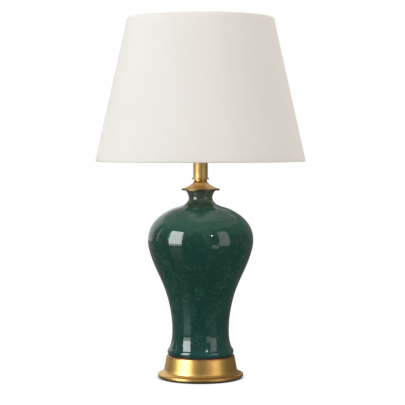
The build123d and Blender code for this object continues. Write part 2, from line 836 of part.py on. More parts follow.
pieces = {
    "base_pad": disc(foot_rim_r - pad_inset, 0, pad_t),
    "base_foot": foot_shell,
    "cord_grommet": make_grommet(foot_solid, foot_hollow),
    "foot_gasket": disc(jar_foot_r - 1.2, deck_z, foot_gasket_t, jar_recess_r - 2.0),
    "ceramic_jar": make_jar(),
    "threaded_pipe": make_pipe(),
    "bottom_nut": hexagon(nut_af, nut_z, nut_h, pipe_r + fit_gap),
    "lock_washer": make_lock_washer(),
    "bottom_washer": disc(foot_washer_r, foot_washer_z, foot_washer_t, pipe_r + fit_gap),
    "neck_gasket": make_neck_gasket(),
    "neck_cap": make_neck_cap(),
    "check_ring": make_check_ring(),
    "neck_tube": disc(tube_r, tube_z, tube_h, tube_r - tube_wall),
    "tube_washer": disc(tube_washer_r, tube_washer_z, tube_washer_t, pipe_r + fit_gap),
    "harp_saddle": make_saddle(),
    "saddle_nut": hexagon(saddle_nut_af, saddle_nut_z, saddle_nut_h, pipe_r + fit_gap),
    "socket_cap": make_socket_cap(),
    "socket_set_screw": make_set_screw(),
    "pipe_bushing": make_bushing(),
    "socket_body": make_socket_body(),
    "terminal_screws": make_terminal_screws(),
    "screw_shell": make_screw_shell(),
    "centre_contact": make_contact(),
    "socket_insulator": make_insulator(),
    "socket_shell": make_socket_shell(),
    "switch_stem": make_stem(),
    "switch_knob": make_knob(),
    "bulb_contact": make_bulb_contact(),
    "bulb_insulator": make_bulb_insulator(),
    "bulb_base": make_bulb_base(),
    "bulb_glass": make_bulb_glass(),
    "harp_loop": make_harp(),
    "ferrule_left": make_ferrule(-1),
    "ferrule_right": make_ferrule(1),
    "harp_stud": make_stud(),
    "shade_cover": make_cover(),
    "shade_liner": make_liner(),
    "shade_fitter": make_fitter(),
    "shade_bottom_ring": wire_ring(hem_r),
    "finial_base": make_finial_base(),
    "finial_ball": make_finial_ball(),
}

for node, solid in pieces.items():
    export_step(solid, f"parts/{node}.step")

print(f"total height {finial_z + finial_h:.1f} mm")
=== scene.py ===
"""Table lamp with a green crackle-glazed baluster jar, satin brass fittings and a white cloth shade.

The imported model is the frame. Pieces whose shape is right keep their mesh and get a finish; the cloth of the
shade and the threaded pieces are made here. Metres, +Z up, the front of the lamp looks towards -Y.
"""

import math
import random

import bpy
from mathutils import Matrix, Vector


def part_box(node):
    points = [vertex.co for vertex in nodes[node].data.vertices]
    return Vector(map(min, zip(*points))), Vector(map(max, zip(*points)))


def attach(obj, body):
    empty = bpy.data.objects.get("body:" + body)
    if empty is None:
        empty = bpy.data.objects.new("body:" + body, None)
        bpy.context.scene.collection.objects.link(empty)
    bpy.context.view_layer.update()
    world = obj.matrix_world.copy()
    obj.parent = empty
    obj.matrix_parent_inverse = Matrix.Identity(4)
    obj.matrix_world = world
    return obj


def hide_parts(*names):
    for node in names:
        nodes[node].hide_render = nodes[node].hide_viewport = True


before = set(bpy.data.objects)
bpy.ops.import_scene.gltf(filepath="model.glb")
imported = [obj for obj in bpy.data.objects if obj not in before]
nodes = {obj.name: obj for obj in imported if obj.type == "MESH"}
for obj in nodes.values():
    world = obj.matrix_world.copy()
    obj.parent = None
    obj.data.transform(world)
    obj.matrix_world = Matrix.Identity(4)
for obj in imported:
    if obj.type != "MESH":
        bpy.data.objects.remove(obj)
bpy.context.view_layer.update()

# ---------------------------------------------------------------- sizes
MM = 0.001
TINY = 1e-6
SMOOTH_BELOW = 32           # degrees between two faces that still look like one surface

SHADE_BOTTOM_R = 180.0 * MM
SHADE_TOP_R = 125.0 * MM
SHADE_H = 244.3 * MM        # between the cover's nominal lower and upper edges
SHADE_SEAT_DROP = 20.0 * MM  # from the cover's upper edge down to the seat of its hub
SHADE_HUB_T = 1.7 * MM
CLOTH_T = 0.6 * MM
THREAD_PITCH = 0.52 * MM
HEM_R = 2.25 * MM           # outside of the edge rolled round its wire
HEM_TURN = 290              # degrees that the edge is rolled
HEM_STEPS = 14
SLANT_STEPS = 28
CLOTH_SIDES = 288
SEAM_HALF = 5.0 * MM        # half the width of the lap where the cloth's two ends meet
HEM_PUCKER = 0.12 * MM

STUD_R = 3.1 * MM
STUD_THREAD = 0.45 * MM
STUD_PITCH = 0.94 * MM
STUD_SIDES = 48
EDISON_PITCH = 3.6 * MM
EDISON_DEPTH = 0.75 * MM
EDISON_SIDES = 72
PIPE_PITCH = 0.94 * MM
THREAD_CATCH = 0.2 * MM     # how far a point of a threaded wall may lie from the wall's radius

CAMERA_X = 3.34 * MM
CAMERA_Y = -2349 * MM
CAMERA_Z = 403.06 * MM
CAMERA_PITCH = 2.4868       # degrees below the horizon
CAMERA_LENS = 121.78

AIR_LIGHT = 0.36            # how strongly the room itself lights the lamp
LAMPS_FACE = 260.0 * MM     # height that the soft lamps look at
FLOOR_SIZE = 24.0
FLOOR_GLOW = 1.06           # a little over white, so that the floor's own noise doesn't show
FLOOR_WHITE = 0.95          # share of the floor's look that is plain white
CONTACT_WHITE = 0.40        # the same close round the foot, where its shadow shows and a painted shadow darkens the floor
SHADOW_REACH = 1.12         # where the plain white starts, as a share of the pad's radius
TABLE_TONE = 0.10
TABLE_LIFT = 0.3 * MM
WALL_RADIUS = 3.4
WALL_TOP = 7.0
WALL_TONE = 0.22
WALL_ENDS = (-128, 176)     # degrees from the camera's side between which the wall stands


def colour(red, green, blue):
    """Display values from 0 to 255 as the linear colour that a node takes."""
    shares = [c / 255 for c in (red, green, blue)]
    return tuple(c / 12.92 if c <= 0.04045 else ((c + 0.055) / 1.055) ** 2.4 for c in shares) + (1.0,)


def deeper(base, red, green, blue):
    """Colour whose display values are shares of those of base."""
    return colour(base[0] * red, base[1] * green, base[2] * blue)


# ---------------------------------------------------------------- shader maths
class Wire:
    """One output of a material's nodes. Sums and products with it add the nodes that work them out."""

    def __init__(self, finish, socket):
        self.finish = finish
        self.socket = socket

    def maths(self, operation, *values):
        sockets = dict(enumerate(values))
        return self.finish.node("ShaderNodeMath", sockets, operation=operation)

    def __add__(self, other):
        return self.maths("ADD", self, other)

    __radd__ = __add__

    def __mul__(self, other):
        return self.maths("MULTIPLY", self, other)

    def __sub__(self, other):
        return self.maths("SUBTRACT", self, other)

    def __rsub__(self, other):
        return self.maths("SUBTRACT", other, self)

    def __truediv__(self, other):
        return self.maths("DIVIDE", self, other)

    def __pow__(self, other):
        return self.maths("POWER", self, other)

    def sine(self):
        return self.maths("SINE", self)

    def between(self, low, high):
        """0 below low, 1 above high and a soft step from one to the other; high may be the lower one."""
        settings = {"interpolation_type": "SMOOTHSTEP"}
        return self.finish.node("ShaderNodeMapRange", {0: self, 1: low, 2: high, 3: 0.0, 4: 1.0}, **settings)


class Finish:
    """A material while it is mixed."""

    def __init__(self, name, **constants):
        self.material = bpy.data.materials.new(name)
        self.material.use_nodes = True
        self.tree = self.material.node_tree
        self.shader = self.tree.nodes["Principled BSDF"]
        for socket, value in constants.items():
            self.shader.inputs[socket.replace("_", " ")].default_value = value

    def node(self, kind, sockets=None, output=0, **settings):
        """Adds a node: its settings first, then its sockets' values or links. Returns one of its outputs."""
        made = self.tree.nodes.new(kind)
        for setting, value in settings.items():
            setattr(made, setting, value)
        for socket, value in (sockets or {}).items():
            if isinstance(value, Wire):
                self.tree.links.new(value.socket, made.inputs[socket])
            else:
                made.inputs[socket].default_value = value
        return Wire(self, made.outputs[output])

    def place(self):
        return self.node("ShaderNodeTexCoord", output="Object")

    def axes(self, vector):
        split = self.node("ShaderNodeSeparateXYZ", {0: vector})
        outputs = split.socket.node.outputs
        return [Wire(self, outputs[i]) for i in range(3)]

    def vector(self, x, y, z):
        return self.node("ShaderNodeCombineXYZ", {0: x, 1: y, 2: z})

    def noise(self, vector, scale, detail=3.0, rough=0.5):
        sockets = {"Vector": vector, "Scale": scale, "Detail": detail, "Roughness": rough}
        return self.node("ShaderNodeTexNoise", sockets)

    def cells(self, vector, scale, feature="DISTANCE_TO_EDGE"):
        return self.node("ShaderNodeTexVoronoi", {"Vector": vector, "Scale": scale}, feature=feature)

    def mix(self, share, first, second):
        """Colour that goes from the first to the second as share goes from 0 to 1."""
        return self.node("ShaderNodeMix", {0: share, 6: first, 7: second}, output=2, data_type="RGBA")

    def lay(self, films, tone):
        """Lays films over a tone. Each film is a height where it starts, one where it is full, its share
        there and its colour."""
        height = self.axes(self.place())[2]
        for start, full, share, shade in films:
            tone = self.mix(height.between(start, full) * share, tone, colour(*shade))
        return tone

    def bump(self, height, distance, strength=1.0, under=None):
        sockets = {"Height": height, "Distance": distance, "Strength": strength}
        if under:
            sockets["Normal"] = under
        return self.node("ShaderNodeBump", sockets)

    def feed(self, **links):
        """Links outputs to the main shader's sockets; Base_Color stands for Base Color."""
        for socket, wire in links.items():
            self.tree.links.new(wire.socket, self.shader.inputs[socket.replace("_", " ")])
        return self.material


# ---------------------------------------------------------------- finishes
def turned_rings(finish, pitch):
    """Noise that runs in rings about the lamp's axis, as a spinning or turning tool leaves."""
    x, y, z = finish.axes(finish.place())
    radius = (x * x + y * y) ** 0.5
    return finish.noise(finish.vector(radius / pitch, z / pitch, 0.0), 1.0, detail=2.0)


def crackle_glaze():
    """Deep green glassy glaze with a fine net of hair cracks, small pale specks and cloudy depth. It is bluer
    from the waist down, where it runs thick. The shoulder is paler, partly from thinner glaze and partly from
    a painted reflection of the shade's lit inside; the neck is paler and greyer."""
    glaze = Finish("crackle_glaze", Specular_IOR_Level=0.5, IOR=1.5)
    place = glaze.place()
    wide_net, fine_net, specks = 105.0, 260.0, 420.0    # cells to the metre
    wander = glaze.noise(place, 90.0, detail=2.0) * (5 * MM)
    moved = glaze.node("ShaderNodeVectorMath", {0: place, 1: wander}, operation="ADD")
    cloud = glaze.noise(place, 14.0, detail=5.0, rough=0.6)
    mottle = glaze.noise(place, 120.0, detail=4.0, rough=0.65)
    broken = glaze.noise(place, 60.0, detail=2.0).between(0.44, 0.6)
    wide_crack = glaze.cells(moved, wide_net).between(0.018, 0.0) * (0.15 + broken * 0.6)
    fine_crack = glaze.cells(moved, fine_net).between(0.036, 0.0) * cloud.between(0.4, 0.6) * broken
    crack = wide_crack.maths("MAXIMUM", wide_crack, fine_crack * 0.7)
    speck = glaze.cells(moved, specks, "F1").between(0.16, 0.06) * mottle.between(0.52, 0.64)
    body = glaze.mix(cloud.between(0.3, 0.7), colour(16, 55, 46), colour(21, 64, 54))
    body = glaze.mix(mottle.between(0.5, 0.8) * 0.3, body, colour(38, 88, 72))
    low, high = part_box("ceramic_jar")
    waist = (low.z + 120 * MM, low.z + 30 * MM, 0.2, (20, 84, 76))
    pool = (low.z + 22 * MM, low.z + 4 * MM, 0.5, (16, 76, 76))
    # shoulder film: thinner glaze plus a painted reflection of the shade's lit inside
    shoulder = (high.z - 84 * MM, high.z - 60 * MM, 0.52, (50, 96, 80))
    neck = (high.z - 37 * MM, high.z - 14 * MM, 0.65, (96, 98, 84))
    body = glaze.lay([waist, pool, shoulder, neck], body)
    body = glaze.mix(crack * 0.6, body, colour(96, 142, 124))
    body = glaze.mix(speck * 0.65, body, colour(108, 152, 132))
    roughness = 0.05 + crack * 0.06 + mottle * 0.03
    ripple = glaze.noise(place, 38.0, detail=2.0)
    skin = glaze.bump(ripple, 0.35 * MM, 0.3)
    return glaze.feed(Base_Color=body, Roughness=roughness, Normal=glaze.bump(crack, 0.05 * MM, 0.3, skin))


def satin_brass(name, base, low, high, pitch=0.45 * MM, films=()):
    """Spun brass with fine rings and a slow drift of tone and of roughness, which goes from low to high."""
    brass = Finish(name, Metallic=1.0)
    rings = turned_rings(brass, pitch)
    coarse = turned_rings(brass, pitch * 9.0)
    drift = brass.noise(brass.place(), 22.0, detail=4.0, rough=0.6)
    tone = brass.mix(drift.between(0.35, 0.75) * 0.55, colour(*base), deeper(base, 0.93, 0.86, 0.76))
    tone = brass.mix(coarse.between(0.55, 0.8) * 0.18, tone, deeper(base, 0.8, 0.72, 0.6))
    tone = brass.lay(films, tone)
    roughness = low + drift.between(0.3, 0.8) * (high - low) + rings * 0.05
    return brass.feed(Base_Color=tone, Roughness=roughness, Normal=brass.bump(rings, 0.02 * MM, 0.8))


def cap_brass():
    """Pale brass with painted shade in the collar's corner under the ring and a painted dark reflection along
    the brim.
    """
    low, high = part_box("neck_cap")
    # painted shade in the collar's corner, where the check ring shades it
    collar = (high.z - 6.2 * MM, high.z - 4.6 * MM, 0.75, (158, 112, 48))
    # painted dark reflection along the brim
    brim = (low.z + 4.0 * MM, low.z + 1.6 * MM, 0.92, (62, 54, 36))
    return satin_brass("cap_brass", (242, 206, 136), 0.36, 0.46, films=[collar, brim])


def foot_brass():
    """Brass with wider rings, reddish along the upper edge of the foot."""
    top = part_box("base_foot")[1].z
    edge = (top - 3.6 * MM, top - 2.0 * MM, 0.85, (173, 116, 83))
    return satin_brass("spun_brass", (218, 178, 106), 0.32, 0.40, pitch=0.6 * MM, films=[edge])


def drawn_wire(name, base, low, high, pull=0.05):
    """Drawn or plated metal with fine marks, which are the longer the smaller pull is."""
    metal = Finish(name, Metallic=1.0)
    place = metal.place()
    x, y, z = metal.axes(place)
    fine = 900.0
    marks = metal.noise(metal.vector(x * fine, y * fine, z * (fine * pull)), 1.0, detail=2.0)
    drift = metal.noise(place, 60.0, detail=3.0)
    tone = metal.mix(drift.between(0.3, 0.7) * 0.4, colour(*base), deeper(base, 0.88, 0.82, 0.74))
    roughness = low + drift * (high - low) + marks * 0.06
    return metal.feed(Base_Color=tone, Roughness=roughness, Normal=metal.bump(marks, 0.01 * MM, 0.35))


def thread_cut(name, base, pitch):
    """Plated steel with a thread's fine ridges round the lamp's axis, and painted shade in the grooves between
    them.
    """
    metal = Finish(name, Metallic=1.0)
    x, y, z = metal.axes(metal.place())
    turn = y.maths("ARCTAN2", y, x) / (2 * math.pi)
    ridge = ((z / pitch - turn) * (2 * math.pi)).sine() * 0.5 + 0.5
    # painted shade: the grooves of the thread are darker than its ridges
    tone = metal.mix(ridge, deeper(base, 0.62, 0.62, 0.62), colour(*base))
    worn = metal.noise(metal.place(), 120.0)
    return metal.feed(Base_Color=tone, Roughness=0.3 + worn * 0.2, Normal=metal.bump(ridge, 0.3 * MM, 0.8))


def zinc_plate():
    zinc = Finish("zinc_plate", Metallic=1.0)
    place = zinc.place()
    spangle = zinc.cells(place, 700.0, "F1")
    drift = zinc.noise(place, 90.0, detail=4.0)
    tone = zinc.mix(drift.between(0.35, 0.7), colour(186, 188, 186), colour(166, 164, 150))
    roughness = 0.28 + spangle * 0.1 + drift * 0.12
    return zinc.feed(Base_Color=tone, Roughness=roughness, Normal=zinc.bump(drift, 0.03 * MM, 0.5))


def linen_cloth():
    """White cloth in a plain weave, with painted shade in the fold at its lower edge. Its map is the flat cut,
    in metres, so the threads run as they were cut. Slubs are long along their thread and short across it."""
    cloth = Finish("shade_linen", Roughness=0.86, Sheen_Weight=0.12, Sheen_Roughness=0.5,
                   Specular_IOR_Level=0.25)
    flat = cloth.node("ShaderNodeUVMap", uv_map="flat_cut")
    across, along, _ = cloth.axes(flat)
    turns = math.pi / THREAD_PITCH
    long, short = 90.0, 2400.0
    slub_across = cloth.noise(cloth.vector(across * long, along * short, 0.0), 1.0, detail=2.0)
    slub_along = cloth.noise(cloth.vector(across * short, along * long, 0.0), 1.0, detail=2.0)
    warp = (across * turns + slub_along * 1.2).sine()
    weft = (along * turns + slub_across * 1.2).sine()
    over = (warp * weft) * 0.5 + 0.5
    threads = (warp * warp) * over + (weft * weft) * (1.0 - over)
    slubs = (slub_across.between(0.6, 0.75) + slub_along.between(0.62, 0.78)) * 0.5
    cast = cloth.noise(flat, 9.0, detail=4.0, rough=0.6)
    tone = cloth.mix(cast, colour(239, 237, 230), colour(246, 244, 238))
    tone = cloth.mix((1.0 - threads) * 0.22, tone, colour(216, 210, 203))
    tone = cloth.mix(slubs * 0.3, tone, colour(250, 248, 243))
    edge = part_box("shade_cover")[0].z
    # painted shade along the fold of the lower edge
    tone = cloth.lay([(edge + 1.2 * MM, edge, 0.6, (148, 142, 136))], tone)
    height = threads + slubs * 0.6
    return cloth.feed(Base_Color=tone, Normal=cloth.bump(height, 0.11 * MM, 0.45))


def backing_sheet():
    """Smooth white plastic sheet behind the cloth, with a faint grain."""
    sheet = Finish("shade_backing", Specular_IOR_Level=0.4)
    place = sheet.place()
    cast = sheet.noise(place, 9.0, detail=2.0)
    grain = sheet.noise(place, 900.0, detail=2.0)
    tone = sheet.mix(cast, colour(246, 244, 240), colour(249, 248, 245))
    return sheet.feed(Base_Color=tone, Roughness=0.5 + cast * 0.06, Normal=sheet.bump(grain, 0.03 * MM, 0.4))


def coated_wire():
    coat = Finish("white_coated_wire", Specular_IOR_Level=0.5)
    place = coat.place()
    peel = coat.noise(place, 1400.0, detail=2.0)
    cast = coat.noise(place, 70.0, detail=3.0)
    tone = coat.mix(cast.between(0.35, 0.75), colour(240, 240, 238), colour(226, 226, 222))
    return coat.feed(Base_Color=tone, Roughness=0.34 + peel * 0.14, Normal=coat.bump(peel, 0.05 * MM, 0.5))


def moulded_block():
    block = Finish("moulded_phenolic", Specular_IOR_Level=0.5)
    place = block.place()
    swirl = block.noise(place, 130.0, detail=5.0, rough=0.65)
    grain = block.noise(place, 1800.0, detail=1.0)
    tone = block.mix(swirl.between(0.4, 0.7), colour(26, 22, 20), colour(44, 34, 28))
    roughness = 0.3 + swirl * 0.18
    return block.feed(Base_Color=tone, Roughness=roughness, Normal=block.bump(grain, 0.03 * MM, 0.5))


def pressed_fibre():
    fibre = Finish("pressed_fibre", Specular_IOR_Level=0.3)
    place = fibre.place()
    x, y, z = fibre.axes(place)
    felted = fibre.noise(fibre.vector(x * 260.0, y * 260.0, z * 900.0), 1.0, detail=5.0, rough=0.7)
    tone = fibre.mix(felted.between(0.3, 0.7), colour(146, 126, 98), colour(176, 156, 124))
    roughness = 0.74 + felted * 0.16
    return fibre.feed(Base_Color=tone, Roughness=roughness, Normal=fibre.bump(felted, 0.12 * MM, 0.6))


def frosted_glass():
    """Glass with a soft white coat inside, as an opal bulb has. The coat is thinner at the bottom."""
    glass = Finish("opal_glass", Coat_Roughness=0.08, Specular_IOR_Level=0.5)
    place = glass.place()
    cast = glass.noise(place, 34.0, detail=4.0)
    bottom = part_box("bulb_glass")[0].z
    tone = glass.mix(cast, colour(244, 243, 238), colour(250, 250, 247))
    tone = glass.lay([(bottom + 30 * MM, bottom, 0.35, (206, 206, 202))], tone)
    return glass.feed(Base_Color=tone, Roughness=0.3 + cast * 0.16, Coat_Weight=0.6 + cast * 0.3)


def black_felt():
    felt = Finish("black_felt", Specular_IOR_Level=0.15, Sheen_Weight=0.35, Sheen_Roughness=0.6)
    place = felt.place()
    hair = felt.noise(place, 900.0, detail=5.0, rough=0.75)
    tuft = felt.noise(place, 160.0, detail=3.0)
    tone = felt.mix(hair.between(0.3, 0.75), colour(16, 15, 16), colour(44, 42, 43))
    return felt.feed(Base_Color=tone, Roughness=0.9 + tuft * 0.08, Normal=felt.bump(hair, 0.5 * MM, 0.8))


def black_rubber(name="black_rubber", dark=(24, 24, 25), pale=(40, 40, 41)):
    rubber = Finish(name, Specular_IOR_Level=0.35)
    place = rubber.place()
    bloom = rubber.noise(place, 140.0, detail=4.0)
    tone = rubber.mix(bloom.between(0.35, 0.75), colour(*dark), colour(*pale))
    grain = rubber.noise(place, 1500.0, detail=1.0)
    roughness = 0.56 + bloom * 0.2
    return rubber.feed(Base_Color=tone, Roughness=roughness, Normal=rubber.bump(grain, 0.04 * MM, 0.5))


# ---------------------------------------------------------------- making pieces
def active_name(name):
    piece = bpy.context.object
    piece.name = name
    piece.data.name = name
    return piece


def finish_mesh(piece, material):
    """Closes a piece's seams and poles, turns its faces outwards, sets its place and gives it its finish."""
    bpy.ops.object.mode_set(mode="EDIT")
    bpy.ops.mesh.select_all(action="SELECT")
    bpy.ops.mesh.remove_doubles(threshold=4 * TINY)
    bpy.ops.mesh.normals_make_consistent(inside=False)
    bpy.ops.object.mode_set(mode="OBJECT")
    bpy.ops.object.transform_apply(location=True, rotation=True, scale=True)
    bpy.ops.object.shade_smooth_by_angle(angle=math.radians(SMOOTH_BELOW))
    piece.data.materials.clear()
    piece.data.materials.append(material)
    return piece


def throw(name, stations, sides):
    """Round piece raised from a circle, ring by ring, through its stations of (radius, height)."""
    bpy.ops.object.select_all(action="DESELECT")
    radius, height = stations[0]
    bpy.ops.mesh.primitive_circle_add(vertices=sides, radius=max(radius, TINY), location=(0, 0, height))
    piece = active_name(name)
    bpy.ops.object.mode_set(mode="EDIT")
    bpy.ops.mesh.select_all(action="SELECT")
    for next_radius, next_height in stations[1:]:
        step = {"value": (0, 0, next_height - height)}
        bpy.ops.mesh.extrude_edges_move(TRANSFORM_OT_translate=step)
        swell = max(next_radius, TINY) / max(radius, TINY)
        bpy.ops.transform.resize(value=(swell, swell, 1), center_override=(0, 0, next_height))
        radius, height = next_radius, next_height
    bpy.ops.object.mode_set(mode="OBJECT")
    bpy.ops.object.transform_apply(location=True, rotation=True, scale=True)
    return piece


def rings_between(radius, low, high, count):
    """Evenly spaced stations of one radius, for a stretch that gets a thread."""
    return [(radius, low + (high - low) * i / count) for i in range(count + 1)]


def roll_thread(piece, low, high, radius, depth, pitch):
    """Presses a rounded thread into the wall of one radius from low to high. The thread fades out over
    half a turn at each end."""
    for vertex in piece.data.vertices:
        reach = math.hypot(vertex.co.x, vertex.co.y)
        if not low <= vertex.co.z <= high or abs(reach - radius) > THREAD_CATCH:
            continue
        turn = math.atan2(vertex.co.y, vertex.co.x) / (2 * math.pi)
        fade = min(1.0, (vertex.co.z - low) / (pitch / 2), (high - vertex.co.z) / (pitch / 2))
        groove = fade * depth * (0.5 - 0.5 * math.cos(2 * math.pi * (vertex.co.z / pitch - turn)))
        vertex.co.x *= 1 - groove / reach
        vertex.co.y *= 1 - groove / reach


def apply_modifier(piece, kind, **settings):
    modifier = piece.modifiers.new(kind.lower(), kind)
    for setting, value in settings.items():
        setattr(modifier, setting, value)
    bpy.context.view_layer.objects.active = piece
    bpy.ops.object.modifier_apply(modifier=modifier.name)


def dress(node, material):
    """Gives a CAD piece its finish."""
    nodes[node].material_slots[0].material = material


# ---------------------------------------------------------------- shade
def shade_lean():
    return math.atan2(SHADE_BOTTOM_R - SHADE_TOP_R, SHADE_H)


def shade_bottom():
    """Height of the cover's lower edge: its hub lies right under the finial."""
    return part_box("finial_base")[0].z - SHADE_HUB_T + SHADE_SEAT_DROP - SHADE_H


def shade_point(across, along):
    """Radius and height of a point of the cover's section: across runs inwards, along runs up the slant."""
    lean = shade_lean()
    radius = SHADE_BOTTOM_R - across * math.cos(lean) - along * math.sin(lean)
    return radius, shade_bottom() - across * math.sin(lean) + along * math.cos(lean)


def cloth_stations(lift=0.0):
    """Stations of the cloth's middle surface: the lower roll, the slant and the upper roll."""
    slant = math.hypot(SHADE_BOTTOM_R - SHADE_TOP_R, SHADE_H)
    middle = HEM_R - CLOTH_T / 2 + lift
    roll = [180 + HEM_TURN * (1 - i / HEM_STEPS) for i in range(HEM_STEPS)]
    stations = []
    for angle in roll:
        turn = math.radians(angle)
        stations.append(shade_point(HEM_R + middle * math.cos(turn), HEM_R + middle * math.sin(turn)))
    for i in range(SLANT_STEPS + 1):
        along = HEM_R + (slant - 2 * HEM_R) * i / SLANT_STEPS
        stations.append(shade_point(CLOTH_T / 2 - lift, along))
    for angle in reversed(roll):
        turn = math.radians(-angle)
        across = HEM_R + middle * math.cos(turn)
        stations.append(shade_point(across, slant - HEM_R + middle * math.sin(turn)))
    return stations


def lay_flat(piece, stations):
    """Maps a piece of the shade to the flat cut: a sector about the point where the cone would end."""
    lean = shade_lean()
    lengths = [SHADE_BOTTOM_R / math.sin(lean)]
    for (r0, z0), (r1, z1) in zip(stations, stations[1:]):
        lengths.append(lengths[-1] - math.hypot(r1 - r0, z1 - z0))
    flat = piece.data.uv_layers.new(name="flat_cut")
    vertices = piece.data.vertices
    for face in piece.data.polygons:
        middle = math.atan2(-face.center.x, -face.center.y)
        for loop in face.loop_indices:
            index = piece.data.loops[loop].vertex_index
            place = vertices[index].co
            angle = math.atan2(-place.x, -place.y)
            if abs(angle - middle) > math.pi:
                angle += math.copysign(2 * math.pi, middle)
            turn = angle * math.sin(lean)
            length = lengths[index // CLOTH_SIDES]
            flat.data[loop].uv = (length * math.sin(turn), length * math.cos(turn))


def pucker_rolls(piece, stations, seed):
    """Small uneven puckers on the inner side of both rolled edges."""
    draw = random.Random(seed)
    waves = [(draw.randint(50, 160), draw.uniform(0, 2 * math.pi), draw.uniform(0.4, 1.0)) for _ in range(7)]
    total = sum(share for _, _, share in waves)
    last = len(stations) - 1
    puckered = HEM_STEPS * 0.7
    for vertex in piece.data.vertices:
        ring = vertex.index // CLOTH_SIDES
        inside = max(puckered - min(ring, last - ring), 0) / HEM_STEPS
        if inside == 0:
            continue
        angle = math.atan2(vertex.co.y, vertex.co.x)
        swell = sum(share * math.sin(count * angle + start) for count, start, share in waves) / total
        vertex.co.z += swell * HEM_PUCKER * inside
        grown = 1 - abs(swell) * HEM_PUCKER * inside / math.hypot(vertex.co.x, vertex.co.y)
        vertex.co.x *= grown
        vertex.co.y *= grown


def make_shade_cloth(material):
    stations = cloth_stations()
    cloth = throw("shade_cloth", stations, CLOTH_SIDES)
    lay_flat(cloth, stations)
    pucker_rolls(cloth, stations, seed=4)
    finish_mesh(cloth, material)
    apply_modifier(cloth, "SOLIDIFY", thickness=CLOTH_T, offset=0.0, use_even_offset=True)
    return cloth


def make_shade_seam(material):
    """Free end of the cloth, glued over the other end down the back of the shade."""
    stations = cloth_stations(lift=CLOTH_T)
    seam = throw("shade_seam", stations, CLOTH_SIDES * 2)
    bpy.ops.object.mode_set(mode="EDIT")
    bpy.ops.mesh.select_all(action="DESELECT")
    bpy.ops.object.mode_set(mode="OBJECT")
    for vertex in seam.data.vertices:
        vertex.select = vertex.co.y < 0 or abs(vertex.co.x) > SEAM_HALF
    bpy.ops.object.mode_set(mode="EDIT")
    bpy.ops.mesh.delete(type="VERT")
    bpy.ops.object.mode_set(mode="OBJECT")
    flat = seam.data.uv_layers.new(name="flat_cut")
    for loop in seam.data.loops:
        place = seam.data.vertices[loop.vertex_index].co
        flat.data[loop.index].uv = (place.x, place.z)
    finish_mesh(seam, material)
    apply_modifier(seam, "SOLIDIFY", thickness=CLOTH_T * 0.9, offset=0.0, use_even_offset=True)
    return seam


# ---------------------------------------------------------------- threaded pieces
def make_stud(material):
    """Swivel stud with its real thread: rivet head, shank, seat and threaded end."""
    low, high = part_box("harp_stud")
    head_t, head_r, shank_r, seat_r, seat_t = 1.2 * MM, 4.2 * MM, 2.5 * MM, 8.0 * MM, 1.5 * MM
    thread_h, dome, chamfer = 10.0 * MM, 0.35 * MM, 0.6 * MM
    seat_top, thread_end = high.z - thread_h, high.z - chamfer
    outline = [
        (0, low.z),
        (head_r - dome, low.z),
        (head_r, low.z + dome),
        (head_r, low.z + head_t),
        (shank_r, low.z + head_t),
        (shank_r, seat_top - seat_t),
        (seat_r - dome, seat_top - seat_t),
        (seat_r, seat_top - seat_t + dome),
        (seat_r, seat_top - dome),
        (seat_r - dome, seat_top),
    ]
    outline += rings_between(STUD_R, seat_top, thread_end, 96)
    outline += [(STUD_R - chamfer, high.z), (0, high.z)]
    stud = throw("stud_threaded", outline, STUD_SIDES)
    roll_thread(stud, seat_top, thread_end, STUD_R, STUD_THREAD, STUD_PITCH)
    return finish_mesh(stud, material)


def make_bulb_base(material):
    """Screw base of the bulb with its rolled thread, a flared lip and a shallow cup for the glass."""
    low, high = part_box("bulb_base")
    lip, rim, cup = 0.5 * MM, 0.45 * MM, 2 * MM
    wide = high.x - lip
    floor_r = wide - 2.6 * MM
    start, end = low.z + 2.2 * MM, high.z - 1.6 * MM
    outline = [(0, low.z), (floor_r, low.z)]
    outline += rings_between(wide, start, end, 60)
    outline += [(wide + lip, high.z), (wide - rim, high.z), (wide - rim, high.z - cup), (0, high.z - cup)]
    base = throw("bulb_screw_base", outline, EDISON_SIDES)
    roll_thread(base, start + 1 * MM, end - 2 * MM, wide, EDISON_DEPTH, EDISON_PITCH)
    return finish_mesh(base, material)


def make_screw_shell(material):
    """Threaded shell of the socket: a thin wall, open at the top, with a hole in its floor."""
    low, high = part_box("screw_shell")
    outer, wall, hole, plain = high.x, 0.4 * MM, 8.0 * MM, 2 * MM
    outline = [(hole, low.z)]
    outline += rings_between(outer, low.z, high.z, 64)
    outline += rings_between(outer - wall, high.z, low.z + wall, 64)
    outline += [(hole, low.z + wall), (hole, low.z)]
    shell = throw("socket_screw_shell", outline, EDISON_SIDES)
    for radius in (outer, outer - wall):
        roll_thread(shell, low.z + plain, high.z - plain, radius, EDISON_DEPTH * 0.7, EDISON_PITCH)
    return finish_mesh(shell, material)


# ---------------------------------------------------------------- studio
def hide_all_but_gleams(piece):
    piece.visible_camera = False
    piece.visible_diffuse = False
    piece.visible_shadow = False
    piece.visible_transmission = False


